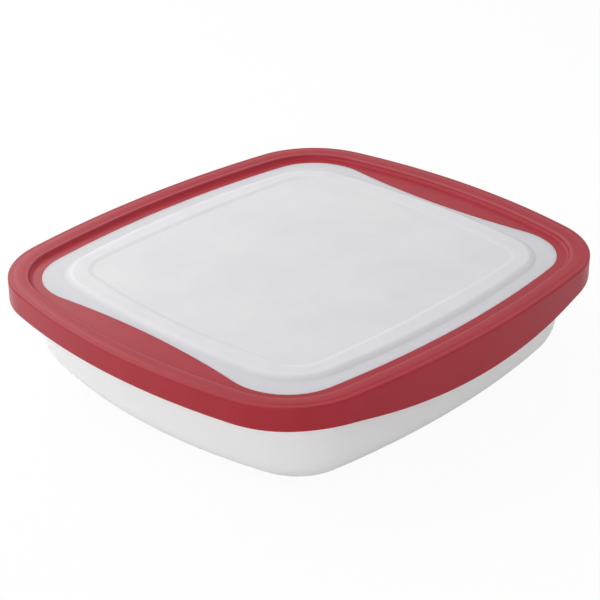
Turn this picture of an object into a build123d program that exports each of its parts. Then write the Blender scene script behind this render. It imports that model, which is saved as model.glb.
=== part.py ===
from build123d import *
from math import acos, atan2, cos, hypot, sin, sqrt
import os

# Rounded-square food container with a press-on lid, in millimetres.
# The origin is the middle of the bottom, +Z is up, and the finger lobes of the lid face +Y and -Y.

# Every outline is four long side arcs joined by four corner arcs, each tangent to the next.
# An outline's values are its half sizes in X and Y, the radii of its X and Y sides and its corner radius.

# Overall heights and the lid's outline, which is also the outline of the whole container
SHELL_HEIGHT = 59.0
FOOT_HEIGHT = 1.0
LID_TOP = SHELL_HEIGHT + FOOT_HEIGHT
LID_HALF_X = 125.0
LID_HALF_Y = 140.9
LID_SIDE_X = 613.0
LID_SIDE_Y = 373.0
LID_CORNER = 50.6
LID_OUTLINE = (LID_HALF_X, LID_HALF_Y, LID_SIDE_X, LID_SIDE_Y, LID_CORNER)

# Lid rim: the soft outer skirt with its aprons, the crowned land on top and the flange inside it
SKIRT_DEPTH = 13.0
SKIRT_WALL = 1.65
APRON_DEPTH = 23.0
APRON_RADIUS = 470.0
APRON_BLEND_RADIUS = 200.0
BEAD_DEPTH = 8.9
BEAD_RADIUS = 0.45
EDGE_RADIUS = 2.3
LAND_INNER = 10.7
LAND_WALL = 1.65
CROWN_DROP = 0.35
STEP_RUN = 0.9
FLANGE_DEPTH = 3.06
FLANGE_INNER = 17.9
FLANGE_WALL = 0.75
LOBE_REACH = 12.0
LOBE_END_GAP = 1.0
LOBE_BLEND = 30.0

# Sealing plug that hangs from the rim into the mouth of the base
PLUG_OUTER = 9.5
PLUG_WALL = 1.7
PLUG_DEPTH = 7.2

# Lid panel: a clear sheet with a raised plateau and a shallow recess for the foot of the next container
PANEL_WALL = 1.5
TONGUE_GAP = 0.1
PLATEAU_DEPTH = 0.2
PLATEAU_SLOPE = 0.9
PLATEAU_EDGE = 0.7
PLATEAU_GAP_X = 7.8
PLATEAU_GAP_Y = 0.6
PLATEAU_SIDE_X = 560.0
PLATEAU_SIDE_Y = 500.0
PLATEAU_CORNER = 32.0
PLATEAU_BAND_X = 12.4
PLATEAU_BAND_Y = 10.9
RECESS_DEPTH = 1.5
RECESS_SLOPE = 0.8
RECESS_SIDE_X = 900.0
RECESS_SIDE_Y = 390.0
RECESS_CORNER = 18.0

# Base: a down-turned lip, a shoulder under the lip and a drafted wall on a rounded bottom
BASE_WALL = 1.6
LIP_GAP = 0.65
LIP_DEPTH = 8.0
PLUG_GAP = 0.3
SHOULDER_TOP = 8.4
SHOULDER_BOTTOM = 10.6
WALL_INSET = 11.6
DRAFT_X = 3.3
DRAFT_Y = 8.7
BOTTOM_SIDE_X = 485.0
BOTTOM_SIDE_Y = 287.0
BOTTOM_CORNER = 36.3
BOTTOM_RADIUS = 19.1
BOTTOM_RINGS = 7
FOOT_GAP = 1.2

# Places that follow from the sizes above
LAND_FOOT = LAND_INNER + STEP_RUN
FLANGE_JOIN = (LAND_FOOT + FLANGE_INNER) / 2
LOBE_Y = LID_HALF_Y - FLANGE_INNER - LOBE_REACH
PLATEAU_HALF_X = LID_HALF_X - FLANGE_INNER - PLATEAU_GAP_X - PLATEAU_SLOPE
PLATEAU_HALF_Y = LOBE_Y - PLATEAU_GAP_Y - PLATEAU_SLOPE
PLATEAU_OUTLINE = (PLATEAU_HALF_X, PLATEAU_HALF_Y, PLATEAU_SIDE_X, PLATEAU_SIDE_Y, PLATEAU_CORNER)
RECESS_HALF_X = PLATEAU_HALF_X - PLATEAU_BAND_X
RECESS_HALF_Y = PLATEAU_HALF_Y - PLATEAU_BAND_Y
RECESS_OUTLINE = (RECESS_HALF_X, RECESS_HALF_Y, RECESS_SIDE_X, RECESS_SIDE_Y, RECESS_CORNER)
BOTTOM_HALF_X = LID_HALF_X - WALL_INSET - DRAFT_X
BOTTOM_HALF_Y = LID_HALF_Y - WALL_INSET - DRAFT_Y
BOTTOM_OUTLINE = (BOTTOM_HALF_X, BOTTOM_HALF_Y, BOTTOM_SIDE_X, BOTTOM_SIDE_Y, BOTTOM_CORNER)


def quarter_arcs(outline_size, inset):
    """Arcs of the +X +Y quarter, from the Y axis to the X axis, each as its start, middle and end."""
    half_x, half_y, side_x, side_y, corner = (value - inset for value in outline_size)
    centre_x = half_x - side_x
    centre_y = half_y - side_y
    # the corner circle lies where both big circles, shrunk by the corner radius, cross
    reach_x = side_x - corner
    reach_y = side_y - corner
    span = hypot(centre_x, centre_y)
    along = (reach_x**2 - reach_y**2 + span**2) / (2 * span)
    across = sqrt(reach_x**2 - along**2)
    unit = (-centre_x / span, centre_y / span)
    middle = (centre_x + along * unit[0] - across * unit[1], along * unit[1] + across * unit[0])
    on_y_side = (middle[0] * side_y / reach_y, centre_y + (middle[1] - centre_y) * side_y / reach_y)
    on_x_side = (centre_x + (middle[0] - centre_x) * side_x / reach_x, middle[1] * side_x / reach_x)
    return [
        arc_round((0, centre_y), side_y, (0, half_y), on_y_side),
        arc_round(middle, corner, on_y_side, on_x_side),
        arc_round((centre_x, 0), side_x, on_x_side, (half_x, 0)),
    ]


def arc_round(centre, radius, start, end):
    """Start, middle and end of the arc round a centre."""
    turns = [atan2(point[1] - centre[1], point[0] - centre[0]) for point in (start, end)]
    turn = sum(turns) / 2
    return start, (centre[0] + radius * cos(turn), centre[1] + radius * sin(turn)), end


def mirrored_wire(arcs, z):
    """Closed wire of a quarter's arcs and their mirror images, at a height."""
    back = [arc[::-1] for arc in reversed(arcs)]
    quarters = [(1, 1, arcs), (1, -1, back), (-1, -1, arcs), (-1, 1, back)]
    return Wire([ThreePointArc(*((x * sign_x, y * sign_y, z) for x, y in arc))
                 for sign_x, sign_y, quarter in quarters for arc in quarter])


def outline(outline_size, inset=0.0, z=0.0):
    """Closed outline of side and corner arcs, moved inwards by inset and up to z."""
    return mirrored_wire(quarter_arcs(outline_size, inset), z)


def window_outline(z):
    """Outline of the clear window: the flange's inner edge, with a lobe and a blend on the +Y and -Y sides."""
    side, corner, end = quarter_arcs(LID_OUTLINE, FLANGE_INNER)
    side_radius = LID_SIDE_Y - FLANGE_INNER
    side_centre = LID_HALF_Y - LID_SIDE_Y
    # the blend leaves the side a little before the corner starts, with its circle inside the side's
    side_x = side[2][0] - LOBE_END_GAP
    on_side = (side_x, side_centre + sqrt(side_radius**2 - side_x**2))
    shrink = (side_radius - LOBE_BLEND) / side_radius
    blend = (side_x * shrink, side_centre + (on_side[1] - side_centre) * shrink)
    # the lobe is the arc through the middle of its edge that touches the blend circle from outside
    fall = LOBE_Y - blend[1]
    lobe_radius = (blend[0] ** 2 + fall**2 - LOBE_BLEND**2) / (2 * (LOBE_BLEND - fall))
    lobe_centre = LOBE_Y + lobe_radius
    share = lobe_radius / (lobe_radius + LOBE_BLEND)
    on_lobe = (blend[0] * share, lobe_centre + (blend[1] - lobe_centre) * share)
    return mirrored_wire([
        arc_round((0, lobe_centre), lobe_radius, (0, LOBE_Y), on_lobe),
        arc_round(blend, LOBE_BLEND, on_lobe, on_side),
        arc_round((0, side_centre), side_radius, on_side, side[2]),
        corner,
        end,
    ], z)


def prism(wire, height):
    """Solid that stands on a flat wire."""
    return extrude(Face(wire), amount=height, dir=(0, 0, 1))


def ring_loft(wires, ruled=True):
    """Solid through a stack of wires, one above the other."""
    return Solid.make_loft(wires, ruled)


def carried_round(section, outline_size):
    """Carry a section round an outline; its own x is the inset and its y the depth below the top."""
    path = outline(outline_size, z=LID_TOP)
    tangent = path % 0
    inward = Vector(tangent.Y, -tangent.X, 0)
    plane = Plane(origin=path @ 0, x_dir=inward, z_dir=tangent)
    return sweep(plane * section, path=path)


def wall_outline(height):
    """Outline of the base's outer wall at a height, straight from the shoulder to the bottom."""
    top_z = LID_TOP - SHOULDER_BOTTOM
    share = (height - FOOT_HEIGHT) / (top_z - FOOT_HEIGHT)
    top = [value - WALL_INSET for value in LID_OUTLINE]
    return [low + (high - low) * share for low, high in zip(BOTTOM_OUTLINE, top)]


def bowl(wall, radius):
    """Solid bowl inside the drafted wall, offset by wall, with a round bottom edge."""
    floor = FOOT_HEIGHT + wall
    wires = []
    for step in range(BOTTOM_RINGS + 1):
        rise = radius * (1 - cos(step / BOTTOM_RINGS * acos(0)))
        inset = radius - sqrt(radius**2 - (radius - rise) ** 2)
        height = floor + rise
        wires.append(outline(wall_outline(height), wall + inset, height))
    top_z = LID_TOP - SHOULDER_BOTTOM
    wires.append(outline(wall_outline(top_z), wall, top_z))
    return ring_loft(wires)


def make_base():
    """Open box: rounded bottom, drafted wall, shoulder, seat under the lid and a down-turned lip."""
    seat_z = LID_TOP - LAND_WALL
    mouth = PLUG_OUTER - PLUG_GAP
    lip = SKIRT_WALL + LIP_GAP
    neck_z = LID_TOP - SHOULDER_TOP
    top_z = LID_TOP - SHOULDER_BOTTOM
    lip_z = LID_TOP - LIP_DEPTH
    neck = mouth - BASE_WALL
    body = bowl(0.0, BOTTOM_RADIUS)
    body += ring_loft([outline(LID_OUTLINE, WALL_INSET, top_z), outline(LID_OUTLINE, neck, neck_z)])
    body += prism(outline(LID_OUTLINE, neck, neck_z), seat_z - neck_z)
    crown = prism(outline(LID_OUTLINE, lip, lip_z), seat_z - lip_z)
    crown -= prism(outline(LID_OUTLINE, lip + BASE_WALL, lip_z), seat_z - lip_z - BASE_WALL)
    body += crown
    body += prism(outline(RECESS_OUTLINE, RECESS_SLOPE + FOOT_GAP, 0), FOOT_HEIGHT + BASE_WALL)
    hollow = bowl(BASE_WALL, BOTTOM_RADIUS - BASE_WALL)
    hollow += ring_loft([outline(LID_OUTLINE, WALL_INSET + BASE_WALL, top_z),
                         outline(LID_OUTLINE, mouth, neck_z)])
    hollow += prism(outline(LID_OUTLINE, mouth, neck_z), seat_z - neck_z)
    foot_inset = RECESS_SLOPE + FOOT_GAP + BASE_WALL
    hollow += prism(outline(RECESS_OUTLINE, foot_inset, BASE_WALL), FOOT_HEIGHT + BASE_WALL)
    return body - hollow


def rim_section():
    """Section of the lid rim: skirt with a snap bead, crowned land, step, flange and plug."""
    plug_inner = PLUG_OUTER + PLUG_WALL
    under = FLANGE_DEPTH + FLANGE_WALL
    edge_start = (0, EDGE_RADIUS + CROWN_DROP)
    edge_end = (EDGE_RADIUS, CROWN_DROP)
    edge_middle = (EDGE_RADIUS * (1 - cos(acos(0) / 2)), edge_start[1] - EDGE_RADIUS * sin(acos(0) / 2))
    bead = [(SKIRT_WALL, BEAD_DEPTH + BEAD_RADIUS), (SKIRT_WALL + BEAD_RADIUS, BEAD_DEPTH),
            (SKIRT_WALL, BEAD_DEPTH - BEAD_RADIUS)]
    edges = [
        Line((0, SKIRT_DEPTH), edge_start),
        ThreePointArc(edge_start, edge_middle, edge_end),
        ThreePointArc(edge_end, ((edge_end[0] + LAND_INNER) / 2, 0), (LAND_INNER, CROWN_DROP)),
        Polyline((LAND_INNER, CROWN_DROP), (LAND_FOOT, FLANGE_DEPTH), (FLANGE_JOIN, FLANGE_DEPTH),
                 (FLANGE_JOIN, under), (plug_inner, under), (plug_inner, PLUG_DEPTH), (PLUG_OUTER, PLUG_DEPTH),
                 (PLUG_OUTER, LAND_WALL), (SKIRT_WALL, LAND_WALL), bead[2]),
        ThreePointArc(bead[2], bead[1], bead[0]),
        Polyline(bead[0], (SKIRT_WALL, SKIRT_DEPTH), (0, SKIRT_DEPTH)),
    ]
    return make_face(Curve() + edges)


def apron():
    """The deeper part of the skirt on the +X and -X sides, with a long curved lower edge."""
    drop = APRON_DEPTH - SKIRT_DEPTH
    turn = acos(1 - drop / (APRON_RADIUS + APRON_BLEND_RADIUS))
    skirt_z = LID_TOP - SKIRT_DEPTH
    bottom_z = LID_TOP - APRON_DEPTH
    end = ((APRON_RADIUS + APRON_BLEND_RADIUS) * sin(turn), skirt_z)
    joint = (APRON_RADIUS * sin(turn), bottom_z + APRON_RADIUS * (1 - cos(turn)))
    blend = (end[0] - APRON_BLEND_RADIUS * sin(turn / 2), skirt_z - APRON_BLEND_RADIUS * (1 - cos(turn / 2)))
    edges = [
        Line((-end[0], skirt_z), end),
        ThreePointArc(end, blend, joint),
        ThreePointArc(joint, (0, bottom_z), (-joint[0], joint[1])),
        ThreePointArc((-joint[0], joint[1]), (-blend[0], blend[1]), (-end[0], skirt_z)),
    ]
    profile = extrude(Plane.YZ * make_face(Curve() + edges), amount=LID_HALF_X, both=True)
    wall = prism(outline(LID_OUTLINE, 0, bottom_z), drop)
    wall -= prism(outline(LID_OUTLINE, SKIRT_WALL, bottom_z), drop)
    return wall & profile


def make_lid_rim():
    """Soft rim: the carried section, the aprons under its skirt and the flange with its two lobes."""
    flange_z = LID_TOP - FLANGE_DEPTH - FLANGE_WALL
    flange = prism(outline(LID_OUTLINE, FLANGE_JOIN, flange_z), FLANGE_WALL)
    flange -= prism(window_outline(flange_z), FLANGE_WALL)
    rim = carried_round(rim_section(), LID_OUTLINE)
    return rim + flange + apron()


def make_lid_panel():
    """Clear panel: a sheet that laps under the flange, embossed with the plateau and the recess."""
    flange_z = LID_TOP - FLANGE_DEPTH
    under_z = flange_z - PANEL_WALL
    plateau_z = LID_TOP - PLATEAU_DEPTH
    plateau_under_z = plateau_z - PANEL_WALL
    recess_z = plateau_z - RECESS_DEPTH
    recess_under_z = recess_z - PANEL_WALL
    tongue = PLUG_OUTER + PLUG_WALL + TONGUE_GAP
    panel = prism(outline(LID_OUTLINE, tongue, under_z), PANEL_WALL - FLANGE_WALL)
    panel += prism(window_outline(under_z), PANEL_WALL)
    panel += ring_loft([outline(PLATEAU_OUTLINE, -PLATEAU_SLOPE, flange_z),
                        outline(PLATEAU_OUTLINE, 0, plateau_z)])
    panel -= ring_loft([outline(RECESS_OUTLINE, RECESS_SLOPE, recess_z),
                        outline(RECESS_OUTLINE, 0, plateau_z)])
    under = ring_loft([outline(PLATEAU_OUTLINE, PANEL_WALL - PLATEAU_SLOPE, under_z),
                       outline(PLATEAU_OUTLINE, PANEL_WALL, plateau_under_z)])
    under -= ring_loft([outline(RECESS_OUTLINE, RECESS_SLOPE - PANEL_WALL, recess_under_z),
                        outline(RECESS_OUTLINE, -PANEL_WALL, plateau_under_z)])
    panel -= under
    rims = [edge for edge in panel.edges() if abs(edge.center().Z - plateau_z) < PLATEAU_EDGE / 2]
    return fillet(rims, PLATEAU_EDGE)


os.makedirs("parts", exist_ok=True)
for node, solid in (("base", make_base()), ("lid_rim", make_lid_rim()), ("lid_panel", make_lid_panel())):
    export_step(solid, f"parts/{node}.step")
    box = solid.bounding_box()
    print(node, len(solid.solids()), "solid", f"{solid.volume / 1000:.1f} cm3", box.size)
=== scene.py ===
# %% [markdown]
# # A shallow food container with a soft red rim on its lid
#
# The container is three mouldings: a milky base, a clear lid panel, and a soft red rim that is
# moulded onto the panel and seals the mouth of the base. Each one is a closed skin that runs round
# the container, so each is made here from its section, drawn once and carried round the outline.

from math import atan2, cos, hypot, pi, radians, sin, sqrt

import bpy
import numpy as np
from mathutils import Matrix, Vector


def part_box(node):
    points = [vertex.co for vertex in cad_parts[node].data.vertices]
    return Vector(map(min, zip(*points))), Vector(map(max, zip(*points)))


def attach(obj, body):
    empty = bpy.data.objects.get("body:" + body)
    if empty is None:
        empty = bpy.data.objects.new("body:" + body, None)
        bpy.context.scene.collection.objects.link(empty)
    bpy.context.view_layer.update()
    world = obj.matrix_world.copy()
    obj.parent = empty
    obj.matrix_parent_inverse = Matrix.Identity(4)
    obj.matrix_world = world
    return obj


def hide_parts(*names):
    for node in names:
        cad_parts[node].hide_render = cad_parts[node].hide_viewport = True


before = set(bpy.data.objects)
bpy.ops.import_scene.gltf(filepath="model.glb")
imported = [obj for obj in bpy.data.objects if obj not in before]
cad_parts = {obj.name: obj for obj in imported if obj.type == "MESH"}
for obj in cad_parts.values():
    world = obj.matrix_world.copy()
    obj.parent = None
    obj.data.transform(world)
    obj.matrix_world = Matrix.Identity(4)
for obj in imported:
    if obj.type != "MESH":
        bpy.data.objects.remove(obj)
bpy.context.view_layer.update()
MM = 0.001

# %% [markdown]
# ## One kind of curve
#
# Seen from above, every edge of the container is four long, slightly bowed sides joined by four
# corners. All eight are arcs, and each runs smoothly into the next. Such a curve can be moved inwards
# evenly, because its arcs keep their centres and only their radii shrink. So one ring of points and
# the direction that faces outwards at each point are enough to draw a whole family of edges. A
# spline or a bevelled square would also do, but its corners would change shape as it shrinks.

# %% A ring of points round an outline
SIDE_STEPS = 40
CORNER_STEPS = 36


def arc(centre, radius, start, end, steps):
    """Points at even angles on the arc round a centre, without its last one, and their directions."""
    angle = np.linspace(start, end, steps, endpoint=False)
    facing = np.stack([np.cos(angle), np.sin(angle)], axis=1)
    return np.array(centre) + radius * facing, facing


def ring(outline):
    """Points and outward directions round an outline, clockwise from the +Y side's middle.

    The corner's centre is where the circles of both sides, shrunk by the corner radius, cross. The
    quarter from +Y to +X is drawn, and its mirror images follow it."""
    half_x, half_y, side_x, side_y, corner = outline
    centre_x, centre_y = half_x - side_x, half_y - side_y
    span = hypot(centre_x, centre_y)
    along = ((side_x - corner) ** 2 - (side_y - corner) ** 2 + span**2) / (2 * span)
    across = sqrt((side_x - corner) ** 2 - along**2)
    middle_x = centre_x - along * centre_x / span - across * centre_y / span
    middle_y = along * centre_y / span - across * centre_x / span
    turn_y = atan2(middle_y - centre_y, middle_x)
    turn_x = atan2(middle_y, middle_x - centre_x)
    arcs = [
        arc((0, centre_y), side_y, pi / 2, turn_y, SIDE_STEPS),
        arc((middle_x, middle_y), corner, turn_y, turn_x, CORNER_STEPS),
        arc((centre_x, 0), side_x, turn_x, 0, SIDE_STEPS),
    ]
    quarter = np.array([np.concatenate(part) for part in zip(*arcs)])
    last = np.array([[[half_x, 0]], [[1, 0]]])
    back = np.concatenate([last, quarter[:, :0:-1]], axis=1) * (1, -1)
    half = np.concatenate([quarter, back], axis=1)
    return np.concatenate([half, -half], axis=1)


print("points round each ring:", 4 * (2 * SIDE_STEPS + CORNER_STEPS))

# %% [markdown]
# ## From a section to a skin
#
# A section is a line of points, each with how far it lies inside the outline and how high it is.
# Moulded plastic has no sharp corners, so each corner of the line is swapped for a small arc. The
# rings of all the section's points, stacked up, are a grid, and its squares are the faces.

# %% Sections and skins
def rounded(points, radii):
    """Section line with each inner corner swapped for an arc that touches both of its lines.

    The arc's centre lies on the corner's bisector, at radius / sin(half the corner's angle) from it.
    A radius of 0 keeps the point."""
    points = np.array(points, float)
    line = [points[:1]]
    for before, corner, after, radius in zip(points, points[1:], points[2:], radii):
        to_start = (before - corner) / np.linalg.norm(before - corner)
        to_end = (after - corner) / np.linalg.norm(after - corner)
        half_angle = np.arccos(np.clip(to_start @ to_end, -1, 1)) / 2
        if radius == 0:
            line.append(corner[None])
            continue
        bisector = (to_start + to_end) / np.linalg.norm(to_start + to_end)
        centre = corner + bisector * radius / sin(half_angle)
        first = corner + to_start * radius / np.tan(half_angle) - centre
        sweep = np.linspace(0, pi - 2 * half_angle, 4 + int(3 * radius))[:, None]
        line.append(centre + first * np.cos(sweep) - to_start * radius * np.sin(sweep))
    return np.concatenate([*line, points[-1:]])


def carried(outline, section, z_top=0.0):
    """Grid of points: a section of insets and depths, carried round an outline. Each point lies its
    inset inwards from the outline, against the outward direction, and its depth below z_top."""
    points, facing = ring(outline)
    inset, depth = np.asarray(section).T
    flat = points - inset[:, None, None] * facing
    z = np.broadcast_to(z_top - depth[:, None, None], flat.shape[:2] + (1,))
    return np.concatenate([flat, z], axis=2)


def skin(name, grid, closed):
    """Mesh object from a grid of rings; its section is either closed on itself or ends in two poles."""
    steps, around = grid.shape[:2]
    row = np.arange(steps if closed else steps - 1)[:, None] * around
    column = np.arange(around)[None]
    after = (column + 1) % around
    below = (row + around) % (steps * around)
    quads = np.stack([row + column, below + column, below + after, row + after], axis=2).reshape(-1, 4)
    faces = quads.tolist()
    points = grid.reshape(-1, 3)
    if not closed:
        poles = np.stack([grid[0].mean(axis=0), grid[-1].mean(axis=0)])
        points = np.concatenate([points, poles])
        last, ends = (steps - 1) * around, steps * around
        start_fan = np.stack([np.full(around, ends), column[0], after[0]], axis=1)
        end_fan = np.stack([np.full(around, ends + 1), last + after[0], last + column[0]], axis=1)
        faces += start_fan.tolist() + end_fan.tolist()
    mesh = bpy.data.meshes.new(name)
    mesh.from_pydata((points * MM).tolist(), [], faces)
    mesh.shade_smooth()
    mesh.validate()
    piece = bpy.data.objects.new(name, mesh)
    bpy.context.scene.collection.objects.link(piece)
    even = piece.modifiers.new("even_shading", "WEIGHTED_NORMAL")
    even.keep_sharp = False
    print(name, len(mesh.vertices), "points,", len(mesh.polygons), "faces")
    return piece


# %% [markdown]
# ## Sizes
#
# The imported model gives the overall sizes. The sizes of the mouldings' details are in millimetres. An
# outline is five of them: its half sizes along X and Y, the radii of the sides that cross the X and Y
# axes, and the radius of the corners. The foot fits in the recess, and has its outline.

# %% Sizes of the container
rim_low, rim_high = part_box("lid_rim")
TOP = rim_high.z / MM
LID = (rim_high.x / MM, rim_high.y / MM, 613.0, 373.0, 50.6)
PLATEAU = (97.0, 106.8, 560.0, 500.0, 30.0)
RECESS = (86.0, 96.2, 900.0, 390.0, 19.0)
BOTTOM = (110.1, 120.6, 485.0, 287.0, 36.3)
print("lid half sizes and height in mm:", LID[:2], TOP)

# %% [markdown]
# ## The base
#
# The base is one injection moulding of natural polypropylene, 1.6 mm thick. From the middle of its
# underside the section runs out over a shallow foot, round the bottom edge and up the drafted wall,
# out over a shoulder, round the lip that turns down under the lid's skirt, over the flat seat, and
# back down the inside to the middle of the floor. A bevelled box with a Solidify modifier would be
# quicker to make, but it would have no lip and no foot. The wall's outline changes with height, from
# the rounder top to the tighter bottom, so there each ring gets an outline of its own.

# %% The base's wall and bottom edge
FOOT_HEIGHT = 1.0
WALL_INSET = 11.6
SHOULDER = (8.4, 10.6)
BOTTOM_RADIUS = 19.1
ARC_RINGS = 14


def wall_rings(wall, heights, insets):
    """Rings of the drafted wall: at each height the outline's sizes lie on the line from the bottom's
    to the shoulder's, and the inset is taken off on top of the wall's own thickness."""
    top = np.array(LID) - WALL_INSET
    share = (heights - FOOT_HEIGHT) / (TOP - SHOULDER[1] - FOOT_HEIGHT)
    outlines = np.array(BOTTOM) + share[:, None] * (top - np.array(BOTTOM))
    return np.concatenate([carried(outline, [(wall + inset, -height)])
                           for outline, inset, height in zip(outlines, insets, heights)])


def bottom_edge(wall):
    """Heights and insets of a quarter circle from the flat bottom up to the wall, then the wall."""
    radius = BOTTOM_RADIUS - wall
    angle = np.linspace(0, pi / 2, ARC_RINGS)
    heights = FOOT_HEIGHT + wall + radius * (1 - np.cos(angle))
    insets = radius * (1 - np.sin(angle))
    straight = np.linspace(heights[-1], TOP - SHOULDER[1] - 1.0, 8)[1:]
    return np.concatenate([heights, straight]), np.concatenate([insets, np.zeros(len(straight))])


# %% The base's skin
BASE_WALL = 1.6
FOOT_INSET = 2.0
LAND_WALL = 1.65
LIP = (2.3, 3.9, 8.0)
MOUTH_INSET = 9.2


def base_grid():
    """All rings of the base, from the middle of the underside to the middle of the floor."""
    shares = np.linspace(0.1, 0.9, 5)[:, None, None] * (1, 1, 0) + (0, 0, 1)
    foot = carried(RECESS, rounded([(6, 0), (FOOT_INSET, 0), (FOOT_INSET - 0.4, -FOOT_HEIGHT),
                                    (FOOT_INSET - 3, -FOOT_HEIGHT)], (0.5, 0.4)))
    outside = wall_rings(0, *bottom_edge(0))
    neck = MOUTH_INSET - BASE_WALL
    roof = LAND_WALL + BASE_WALL
    lip_outer, lip_inner, lip_depth = LIP
    rim = carried(LID, rounded([
        (WALL_INSET, SHOULDER[1] + 0.8), (WALL_INSET, SHOULDER[1]), (neck, SHOULDER[0]), (neck, roof),
        (lip_inner, roof), (lip_inner, lip_depth), (lip_outer, lip_depth), (lip_outer, LAND_WALL),
        (MOUTH_INSET, LAND_WALL), (MOUTH_INSET, SHOULDER[0]),
        (WALL_INSET + BASE_WALL, SHOULDER[1]), (WALL_INSET + BASE_WALL, SHOULDER[1] + 0.8),
    ], (0.7, 1.0, 0.8, 0.8, 0.5, 0.5, 0.9, 0.6, 1.6, 0.7)), TOP)
    inside = wall_rings(BASE_WALL, *bottom_edge(BASE_WALL))[::-1]
    floor = FOOT_HEIGHT + BASE_WALL
    sunk = carried(RECESS, rounded([(FOOT_INSET - 1, -floor), (FOOT_INSET + 1.2, -floor),
                                    (FOOT_INSET + 1.6, -BASE_WALL), (8, -BASE_WALL)], (0.4, 0.5)))
    return np.concatenate([foot[0] * shares, foot, outside, rim, inside, sunk, sunk[-1] * shares[::-1]])


base = skin("base_shell", base_grid(), closed=False)
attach(base, "base")
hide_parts("base")

# %% [markdown]
# ## The lid panel
#
# The panel is a clear sheet, pressed out of flat only a little: a raised plateau stiffens it, and a
# shallow recess in the plateau takes the foot of the next container. Both have wide, soft slopes that
# hardly show. Displacing a flat square grid would give them as well, but its squares would cut across
# the round corners. Plateau, recess and window each have an outline of their own. The sheet is flat
# between them, so it doesn't matter there how one family of rings passes into the next. Past the
# window it goes on as a thin tongue under the rim. Round the plateau, where the sheet lies close over
# the base's edge, and down the plateau's slope, shade is painted: the sheet is made a little darker
# and greyish there, so each point carries a number, called painted_shade, for how much.

# %% Where the window ends
FLANGE_INNER = 17.9
LOBE_EDGE = LID[1] - FLANGE_INNER - 12.0
LOBE_RADIUS = 450.0
LOBE_BLEND = 2.0


def window_inset():
    """How far inside the lid's outline the clear window starts, at each point round it: the flange's
    width, or the way straight in to the lobe's big circle, whichever is more. Where the two differ by
    less than LOBE_BLEND, what is missing, squared and over four times LOBE_BLEND, softens the passage."""
    points, facing = ring(LID)
    points, facing = np.abs(points), np.abs(facing)
    from_centre = points - (0, LOBE_EDGE + LOBE_RADIUS)
    along = (from_centre * -facing).sum(axis=1)
    room = along**2 - (from_centre**2).sum(axis=1) + LOBE_RADIUS**2
    to_lobe = np.where(room > 0, -along + np.sqrt(np.maximum(room, 0)), 0)
    apart = np.maximum(LOBE_BLEND - np.abs(to_lobe - FLANGE_INNER), 0)
    return np.maximum(to_lobe, FLANGE_INNER) + apart**2 / (4 * LOBE_BLEND)


WINDOW = window_inset()
print("window inset in mm, least and most:", WINDOW.min().round(2), WINDOW.max().round(2))

# %% The panel's skin
PANEL_WALL = 1.5
PLATEAU_DEPTH = 1.4
RECESS_DEPTH = 2.0
FLANGE_DEPTH = 3.06
FLANGE_WALL = 0.75
TONGUE_INSET = 11.3
RECESS_SLOPE = (2.2, -0.6)
PLATEAU_SLOPE = (1.6, -2.6)


def window_rings(insets, depths):
    """Rings at the window's edge, where the inset changes along the ring."""
    points, facing = ring(LID)
    flat = points - (WINDOW + np.array(insets)[:, None])[:, :, None] * facing
    z = np.broadcast_to(TOP - np.array(depths)[:, None, None], flat.shape[:2] + (1,))
    return np.concatenate([flat, z], axis=2)


def panel_grid():
    """All rings of the panel, from the middle of its top to the middle of its underside."""
    shares = np.linspace(0.08, 0.92, 9)[:, None, None] * (1, 1, 0) + (0, 0, 1)
    recess = carried(RECESS, rounded([(7, RECESS_DEPTH), (RECESS_SLOPE[0], RECESS_DEPTH),
                                      (RECESS_SLOPE[1], PLATEAU_DEPTH), (-3.3, PLATEAU_DEPTH)],
                                     (3.0, 3.0)), TOP)
    plateau = carried(PLATEAU, rounded([(5, PLATEAU_DEPTH), (PLATEAU_SLOPE[0], PLATEAU_DEPTH),
                                        (PLATEAU_SLOPE[1], FLANGE_DEPTH), (-3.8, FLANGE_DEPTH)],
                                       (4.0, 3.5)), TOP)
    window = window_rings((0.2, 0.01, 0), (FLANGE_DEPTH, FLANGE_DEPTH, FLANGE_DEPTH + FLANGE_WALL))
    under = FLANGE_DEPTH + PANEL_WALL
    plateau_roof, recess_roof = PLATEAU_DEPTH + PANEL_WALL, RECESS_DEPTH + PANEL_WALL
    tongue = carried(LID, rounded([(FLANGE_INNER - 1, FLANGE_DEPTH + FLANGE_WALL),
                                   (TONGUE_INSET, FLANGE_DEPTH + FLANGE_WALL), (TONGUE_INSET, under),
                                   (FLANGE_INNER, under)], (0.2, 0.2)), TOP)
    plateau_under = carried(PLATEAU, rounded([(-3.5, under), (-2.0, under), (2.0, plateau_roof),
                                              (4, plateau_roof)], (3.0, 3.0)), TOP)
    recess_under = carried(RECESS, rounded([(-4, plateau_roof), (-0.5, plateau_roof),
                                            (2.1, recess_roof), (6, recess_roof)], (3.0, 3.0)), TOP)
    rings = [recess[0] * shares, recess, plateau, window, tongue, plateau_under,
             recess_under, recess_under[-1] * shares[::-1]]
    return np.concatenate(rings)[::-1]


panel_rings = panel_grid()
panel = skin("panel_sheet", panel_rings, closed=False)
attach(panel, "lid")
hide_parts("lid_panel")

# %% Painted shade round the panel's plateau
SHADE_INSET = 3.0


def painted_shade_share(grid):
    """Share of painted shade, from 0 on the plateau to 1 on the flat ring round it: how far down the slope
    a point lies. It is full a little above the slope's foot, and 0 everywhere inside its upper edge."""
    crest = carried(PLATEAU, [(SHADE_INSET, 0)])[0]
    outside = np.hypot(grid[:, :, 0], grid[:, :, 1]) > np.hypot(crest[:, 0], crest[:, 1])
    down = (TOP - PLATEAU_DEPTH - grid[:, :, 2]) / (FLANGE_DEPTH - PLATEAU_DEPTH)
    return outside * np.clip(1.3 * down, 0, 1)


# Painted shade: the panel is darker round its plateau and down its slope.
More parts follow.
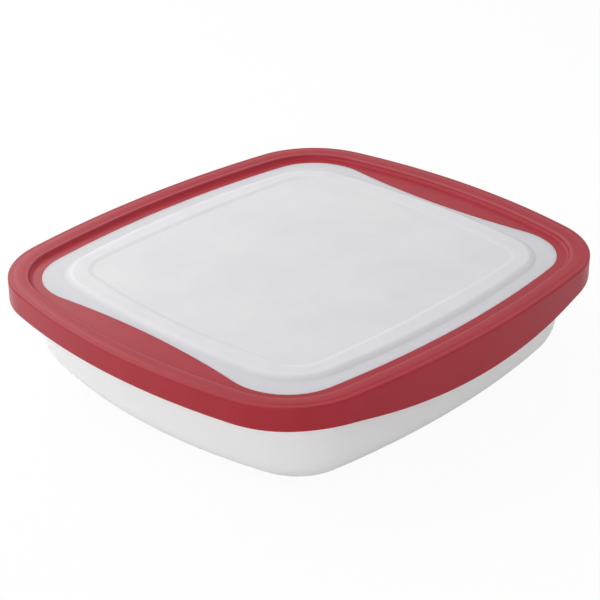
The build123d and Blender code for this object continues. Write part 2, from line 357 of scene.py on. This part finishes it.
painted_shade_values = np.append(painted_shade_share(panel_rings), [0, 0]).astype(np.float32)
painted_shade = panel.data.attributes.new("painted_shade", "FLOAT", "POINT")
painted_shade.data.foreach_set("value", painted_shade_values)
print("points in the band, without the two poles:", int((painted_shade_values > 0).sum()), "of", len(painted_shade_values) - 2)

# %% [markdown]
# ## The lid rim
#
# The rim is soft rubbery plastic, and its section closes on itself: the skirt outside, the crowned
# land on top, the step down to the flange, the plug that seals the mouth of the base, and a small
# bead that snaps under the lip. Two things change along the way round. The skirt hangs deeper on the
# +X and -X sides, as an apron for the fingers, and the flange is wider on the +Y and -Y sides, as a
# lobe. A curve with a bevel shape would carry the section round too, but would not let it change. So
# the one section is carried round first, and its skirt and flange are then stretched. The land has a
# very shallow channel near its outer edge. Along its inner edge a thin highlight is painted in a
# lighter red, so each point also carries a number, called painted_highlight, for how near it lies.

# %% The land's crown and the skirt's aprons
EDGE_RADIUS = 1.0
LAND_INNER = 10.7
CROWN = 0.45
CREST_INSET = 4.5
CHANNEL_INSET = 2.9
CHANNEL_HALF = 1.9
CHANNEL_DEPTH = 0.15
APRON_DROP = 10.0
APRON_RADIUS = 470.0
APRON_BLEND = 200.0


def crown_line():
    """Insets and depths of the land's top: a parabola that falls from its crest to both edges, and one
    period of a cosine for the shallow channel."""
    inset = np.linspace(EDGE_RADIUS, LAND_INNER, 29)
    fall = (inset - CREST_INSET) / (LAND_INNER - CREST_INSET)
    across = np.clip(np.abs(inset - CHANNEL_INSET) / CHANNEL_HALF, 0, 1)
    return np.stack([inset, CROWN * fall**2 + CHANNEL_DEPTH * (1 + np.cos(pi * across)) / 2], axis=1)


def apron_drop(y):
    """How much deeper the skirt hangs: a big arc round the middle and a smaller one that flattens out."""
    turn = np.arccos(1 - APRON_DROP / (APRON_RADIUS + APRON_BLEND))
    y = np.abs(y)
    end = (APRON_RADIUS + APRON_BLEND) * sin(turn)
    middle = APRON_DROP - APRON_RADIUS + np.sqrt(APRON_RADIUS**2 - y**2)
    blend = APRON_BLEND - np.sqrt(APRON_BLEND**2 - np.clip(end - y, 0, APRON_BLEND) ** 2)
    return np.where(y < APRON_RADIUS * sin(turn), middle, blend)


# %% The rim's skin
SKIRT_DEPTH = 13.0
SKIRT_WALL = 1.65
FLANGE_JOIN = 14.75
STRETCH = (10.0, 11.0)
PLUG = (9.5, 11.2, 7.2)
SNAP_BEAD = (8.4, 9.4, 0.45)


def rim_grid():
    """All rings of the rim, once round its section."""
    flange_under = FLANGE_DEPTH + FLANGE_WALL
    plug_outer, plug_inner, plug_depth = PLUG
    bead_start, bead_end, bead_height = SNAP_BEAD
    edge_depth = crown_line()[0, 1]
    edge = rounded([(0, 4), (0, edge_depth), (EDGE_RADIUS + 0.01, edge_depth)], (EDGE_RADIUS,))
    inner = rounded([tuple(crown_line()[-2]), (LAND_INNER, CROWN), (LAND_INNER + 0.9, FLANGE_DEPTH),
                     (FLANGE_JOIN, FLANGE_DEPTH), (FLANGE_INNER, FLANGE_DEPTH),
                     (FLANGE_INNER, flange_under), (FLANGE_JOIN, flange_under),
                     (plug_inner, flange_under), (plug_inner, plug_depth), (plug_outer, plug_depth),
                     (plug_outer, LAND_WALL), (SKIRT_WALL, LAND_WALL), (SKIRT_WALL, bead_start),
                     (SKIRT_WALL + bead_height, (bead_start + bead_end) / 2), (SKIRT_WALL, bead_end),
                     (SKIRT_WALL, STRETCH[0])],
                    (1.1, 2.4, 0, 0.2, 0.05, 0, 0.2, 0.5, 0.5, 0.6, 0.8, 0.1, 0.2, 0.1))
    hem = rounded([(SKIRT_WALL, STRETCH[1]), (SKIRT_WALL, SKIRT_DEPTH), (0, SKIRT_DEPTH), (0, STRETCH[1])],
                  (0.6, 0.6))
    section = np.concatenate([edge[:-1], crown_line()[1:-1], inner[1:], hem])
    grid = carried(LID, section, TOP)
    points, facing = ring(LID)
    inset, depth = section.T[:, :, None]
    skirt = np.clip((depth - STRETCH[0]) / (STRETCH[1] - STRETCH[0]), 0, 1)
    grid[:, :, 2] -= skirt * apron_drop(points[:, 1])
    beyond = np.clip((inset - FLANGE_JOIN) / (FLANGE_INNER - FLANGE_JOIN), 0, None)
    grid[:, :, :2] -= (beyond * (WINDOW - FLANGE_INNER))[:, :, None] * facing
    return grid


rim_points = rim_grid()
rim = skin("rim_skin", rim_points, closed=True)
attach(rim, "lid")
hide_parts("lid_rim")

# %% Painted highlight along the land's inner edge
HIGHLIGHT_INSET = 0.5
HIGHLIGHT_WIDTH = 1.3


def painted_highlight_share(grid):
    """Painted highlight's share, 0 to 1: how near each point is to the crown's inner edge, over
    HIGHLIGHT_WIDTH.
    """
    points, facing = ring(LID)
    inset = ((points - grid[:, :, :2]) * facing).sum(axis=2)
    away = np.hypot(inset - LAND_INNER + HIGHLIGHT_INSET, TOP - grid[:, :, 2] - CROWN)
    return np.clip(1.0 - away / HIGHLIGHT_WIDTH, 0, 1) ** 1.5


# Painted highlight: a lighter red line along the land's inner edge.
highlight_values = painted_highlight_share(rim_points).ravel().astype(np.float32)
painted_highlight = rim.data.attributes.new("painted_highlight", "FLOAT", "POINT")
painted_highlight.data.foreach_set("value", highlight_values)
print("points that are worn:", int((highlight_values > 0).sum()), "of", len(highlight_values))

# %% [markdown]
# ## Materials
#
# Both plastics are moulded, so their colour runs right through and only the surface tells them
# apart. One small function adds a node with its values and its links, and one turns a colour as it is
# seen, an sRGB hex value, into the linear values that Blender mixes.

# %% Helpers for materials
def linear(hex_colour):
    """Linear RGBA of an sRGB hex colour such as "B23A48"."""
    seen = np.array([int(hex_colour[i:i + 2], 16) for i in (0, 2, 4)]) / 255
    line = np.where(seen <= 0.04045, seen / 12.92, ((seen + 0.055) / 1.055) ** 2.4)
    return (*line.tolist(), 1.0)


def add(tree, kind, values=None, links=None):
    """Add a node. A value goes to the input of its name or to the node itself; a link is a pair of
    another node and the name of its output."""
    node = tree.nodes.new(kind)
    for key, value in (values or {}).items():
        if isinstance(key, int) or key in node.inputs:
            node.inputs[key].default_value = value
        else:
            setattr(node, key, value)
    for key, (source, output) in (links or {}).items():
        tree.links.new(source.outputs[output], node.inputs[key])
    return node


def new_material(name):
    """Empty node material with its tree and output."""
    material = bpy.data.materials.new(name)
    material.use_nodes = True
    tree = material.node_tree
    tree.nodes.clear()
    return material, tree, tree.nodes.new("ShaderNodeOutputMaterial")


# %% [markdown]
# ### Soft rim: thermoplastic elastomer
#
# The rim is a rubbery elastomer, injection moulded in a finely eroded tool. That gives it a satin
# face: broad, soft highlights on the rounded edges and hardly any mirror image. One colour and one
# roughness would do from afar, but would look like paint, so both vary in soft clouds. The grain of
# the tool is about 0.3 mm and would vanish at this distance, so it is drawn at 0.6 mm. Along the
# inner edge of the land a highlight is painted, by mixing the red with a lighter one.

# %% Material of the rim
CLOUD_IN_RIM = 0.03
CLOUD_RANGE = (0.3, 0.7)
TOOL_GRAIN = 0.0006


def elastomer():
    material, tree, output = new_material("satin_red_elastomer")
    place = add(tree, "ShaderNodeTexCoord")
    cloudy = add(tree, "ShaderNodeTexNoise", {"Scale": 1 / CLOUD_IN_RIM, "Detail": 3.0},
                 {"Vector": (place, "Object")})
    colour = add(tree, "ShaderNodeValToRGB", links={"Fac": (cloudy, "Fac")})
    for element, position, red in zip(colour.color_ramp.elements, CLOUD_RANGE, ("A2212E", "A92533")):
        element.position, element.color = position, linear(red)
    # Painted highlight: the red is mixed with a lighter one along the land's inner edge.
    painted_highlight = add(tree, "ShaderNodeAttribute", {"attribute_name": "painted_highlight"})
    highlight_red = add(tree, "ShaderNodeMix", {"data_type": "RGBA", 7: linear("C05A65")},
                {0: (painted_highlight, "Fac"), 6: (colour, "Color")})
    grain = add(tree, "ShaderNodeTexNoise", {"Scale": 1 / TOOL_GRAIN, "Detail": 2.0},
                {"Vector": (place, "Object")})
    bump = add(tree, "ShaderNodeBump", {"Strength": 0.12, "Distance": 0.0001}, {"Height": (grain, "Fac")})
    rough = add(tree, "ShaderNodeMapRange", {"To Min": 0.32, "To Max": 0.4}, {"Value": (cloudy, "Fac")})
    shader = add(tree, "ShaderNodeBsdfPrincipled", {"IOR": 1.45, "Specular IOR Level": 0.3},
                 {"Base Color": (highlight_red, 2), "Roughness": (rough, "Result"), "Normal": (bump, "Normal")})
    tree.links.new(shader.outputs["BSDF"], output.inputs["Surface"])
    return material


# %% [markdown]
# ### Base and panel: natural polypropylene
#
# Polypropylene without pigment is milky. Light enters it, scatters a few millimetres and comes out
# softly, so a wall glows a little where light falls on its other side, and nothing is seen clearly
# through it. Subsurface scattering gives that glow. Transmission would let light through as well, but
# would show the inside. The surface is smooth but not polished. The thin panel looks slightly blue
# beside the base. Round its plateau, shade is painted as a darker, greyish white. A faint cloudiness,
# about 50 mm across, is what the melt leaves behind as it flows.

# %% Material of the base and the panel
CLOUD_IN_SHEET = 0.05
SHEET_WAVE = 0.035


def natural_polypropylene(name, whites, glow, depth):
    """Milky plastic between two whites. The glow is the share of the light that scatters inside it,
    and the depth is how far that light goes, in metres."""
    material, tree, output = new_material(name)
    place = add(tree, "ShaderNodeTexCoord")
    cloudy = add(tree, "ShaderNodeTexNoise", {"Scale": 1 / CLOUD_IN_SHEET, "Detail": 4.0},
                 {"Vector": (place, "Object")})
    colour = add(tree, "ShaderNodeValToRGB", links={"Fac": (cloudy, "Fac")})
    for element, position, white in zip(colour.color_ramp.elements, CLOUD_RANGE, whites):
        element.position, element.color = position, linear(white)
    # Painted shade: a darker, greyish white round the plateau and down its slope.
    painted_shade = add(tree, "ShaderNodeAttribute", {"attribute_name": "painted_shade"})
    shaded_white = add(tree, "ShaderNodeMix", {"data_type": "RGBA", 7: linear("DADAE1")},
                 {0: (painted_shade, "Fac"), 6: (colour, "Color")})
    wavy = add(tree, "ShaderNodeTexNoise", {"Scale": 1 / SHEET_WAVE, "Detail": 2.0},
               {"Vector": (place, "Object")})
    bump = add(tree, "ShaderNodeBump", {"Strength": 0.1, "Distance": 0.002}, {"Height": (wavy, "Fac")})
    shader = add(tree, "ShaderNodeBsdfPrincipled",
                 {"IOR": 1.49, "Specular IOR Level": 0.4, "Roughness": 0.58, "Subsurface Weight": glow,
                  "Subsurface Scale": depth, "Subsurface Radius": (1.0, 1.0, 1.0)},
                 {"Base Color": (shaded_white, 2), "Normal": (bump, "Normal")})
    tree.links.new(shader.outputs["BSDF"], output.inputs["Surface"])
    return material


rim.data.materials.append(elastomer())
panel.data.materials.append(
    natural_polypropylene("panel_polypropylene", ("E9E8F6", "F2F1FC"), glow=1.0, depth=0.005))
base.data.materials.append(
    natural_polypropylene("base_polypropylene", ("F8F8F8", "FCFCFC"), glow=0.5, depth=0.004))
print("materials:", [piece.data.materials[0].name for piece in (base, panel, rim)])

# %% [markdown]
# ## Studio
#
# The container was photographed on white under large soft lights. Here a pale sky gives the even
# part of that light, and is a little brighter in reflections and plain white to the camera. Four
# lamps give the rest: one at the left, one in front beside the camera, one behind on the left for
# the sheen on the rim, and one close above the left half, from which the lid slowly darkens to the
# right. A picture of a studio round the scene would do too, but lamps can be moved one by one. The
# floor is white to the camera, and keeps a faint shadow.

# %% Floor
FLOOR_HALF = 4.0
PLAIN_WHITE_SHARE = 0.93


def white_floor():
    """Lit white, mostly hidden by plain white light where the camera looks, also through clear things,
    so that the shadow is faint."""
    material, tree, output = new_material("white_floor")
    path = add(tree, "ShaderNodeLightPath")
    seen = add(tree, "ShaderNodeMath", {"operation": "MAXIMUM"},
               {0: (path, "Is Camera Ray"), 1: (path, "Is Transmission Ray")})
    share = add(tree, "ShaderNodeMath", {"operation": "MULTIPLY", 1: PLAIN_WHITE_SHARE}, {0: (seen, "Value")})
    lit = add(tree, "ShaderNodeBsdfDiffuse", {"Color": linear("FAFAFA")})
    glow = add(tree, "ShaderNodeEmission", {"Strength": 1.0})
    mix = add(tree, "ShaderNodeMixShader",
              links={0: (share, "Value"), 1: (lit, "BSDF"), 2: (glow, "Emission")})
    tree.links.new(mix.outputs["Shader"], output.inputs["Surface"])
    return material


floor_mesh = bpy.data.meshes.new("floor")
corners = [(-FLOOR_HALF, -FLOOR_HALF, 0), (FLOOR_HALF, -FLOOR_HALF, 0),
           (FLOOR_HALF, FLOOR_HALF, 0), (-FLOOR_HALF, FLOOR_HALF, 0)]
floor_mesh.from_pydata(corners, [], [(0, 1, 2, 3)])
floor_mesh.materials.append(white_floor())
floor = bpy.data.objects.new("floor", floor_mesh)
bpy.context.scene.collection.objects.link(floor)


# %% Lamps and sky
def area_lamp(name, place, target, size, power):
    """Square soft lamp at a place, turned towards a target."""
    data = bpy.data.lights.new(name, "AREA")
    data.size, data.energy = size, power
    lamp = bpy.data.objects.new(name, data)
    lamp.location = place
    lamp.rotation_euler = (Vector(target) - Vector(place)).to_track_quat("-Z", "Y").to_euler()
    bpy.context.scene.collection.objects.link(lamp)
    return lamp


MIDDLE = (0, 0, 0.03)
area_lamp("key_lamp", (-0.6, -0.5, 0.55), MIDDLE, size=0.5, power=2.0)
area_lamp("back_lamp", (-0.85, 0.25, 0.6), MIDDLE, size=0.5, power=1.5)
area_lamp("front_lamp", (0.6, -1.0, 0.45), MIDDLE, size=0.6, power=1.85)
area_lamp("top_lamp", (-0.28, -0.05, 0.65), (-0.05, 0, 0.03), size=0.45, power=0.76)

world = bpy.data.worlds.new("studio")
bpy.context.scene.world = world
world.use_nodes = True
sky = world.node_tree
sky.nodes.clear()
path = add(sky, "ShaderNodeLightPath")
soft, gloss, white = [add(sky, "ShaderNodeBackground", {"Color": linear("FFFFFF"), "Strength": strength})
                      for strength in (0.62, 0.8, 1.0)]
light = add(sky, "ShaderNodeMixShader",
            links={0: (path, "Is Glossy Ray"), 1: (soft, "Background"), 2: (gloss, "Background")})
seen = add(sky, "ShaderNodeMixShader",
           links={0: (path, "Is Camera Ray"), 1: (light, "Shader"), 2: (white, "Background")})
add(sky, "ShaderNodeOutputWorld", links={"Surface": (seen, "Shader")})

# %% [markdown]
# ## Camera
#
# The camera's place was worked out from the lid's outline in the photograph, whose four corners and
# bowed sides fix the direction and distance of the view. Turning it by hand until the view looks
# right comes close, but seldom to the pixel.

# %% Camera
AZIMUTH, ELEVATION = radians(43.30), radians(27.38)
EYE = Vector((0.58111, -0.61876, 0.41429 + TOP * MM))
FOCAL_PIXELS = 1744.6
FRAME_PIXELS = 600

back = Vector((sin(AZIMUTH) * cos(ELEVATION), -cos(AZIMUTH) * cos(ELEVATION), sin(ELEVATION)))
right = Vector((cos(AZIMUTH), sin(AZIMUTH), 0))
up = back.cross(right)
camera_data = bpy.data.cameras.new("camera")
camera_data.sensor_width = 36.0
camera_data.lens = camera_data.sensor_width * FOCAL_PIXELS / FRAME_PIXELS
camera_data.clip_start, camera_data.clip_end = 0.05, 20.0
camera = bpy.data.objects.new("camera", camera_data)
camera.matrix_world = Matrix.Translation(EYE) @ Matrix((right, up, back)).transposed().to_4x4()
bpy.context.scene.collection.objects.link(camera)
bpy.context.scene.camera = camera
bpy.context.scene.view_settings.view_transform = "Standard"
print("lens in mm:", round(camera_data.lens, 2))

# %% Finish
bpy.context.view_layer.update()
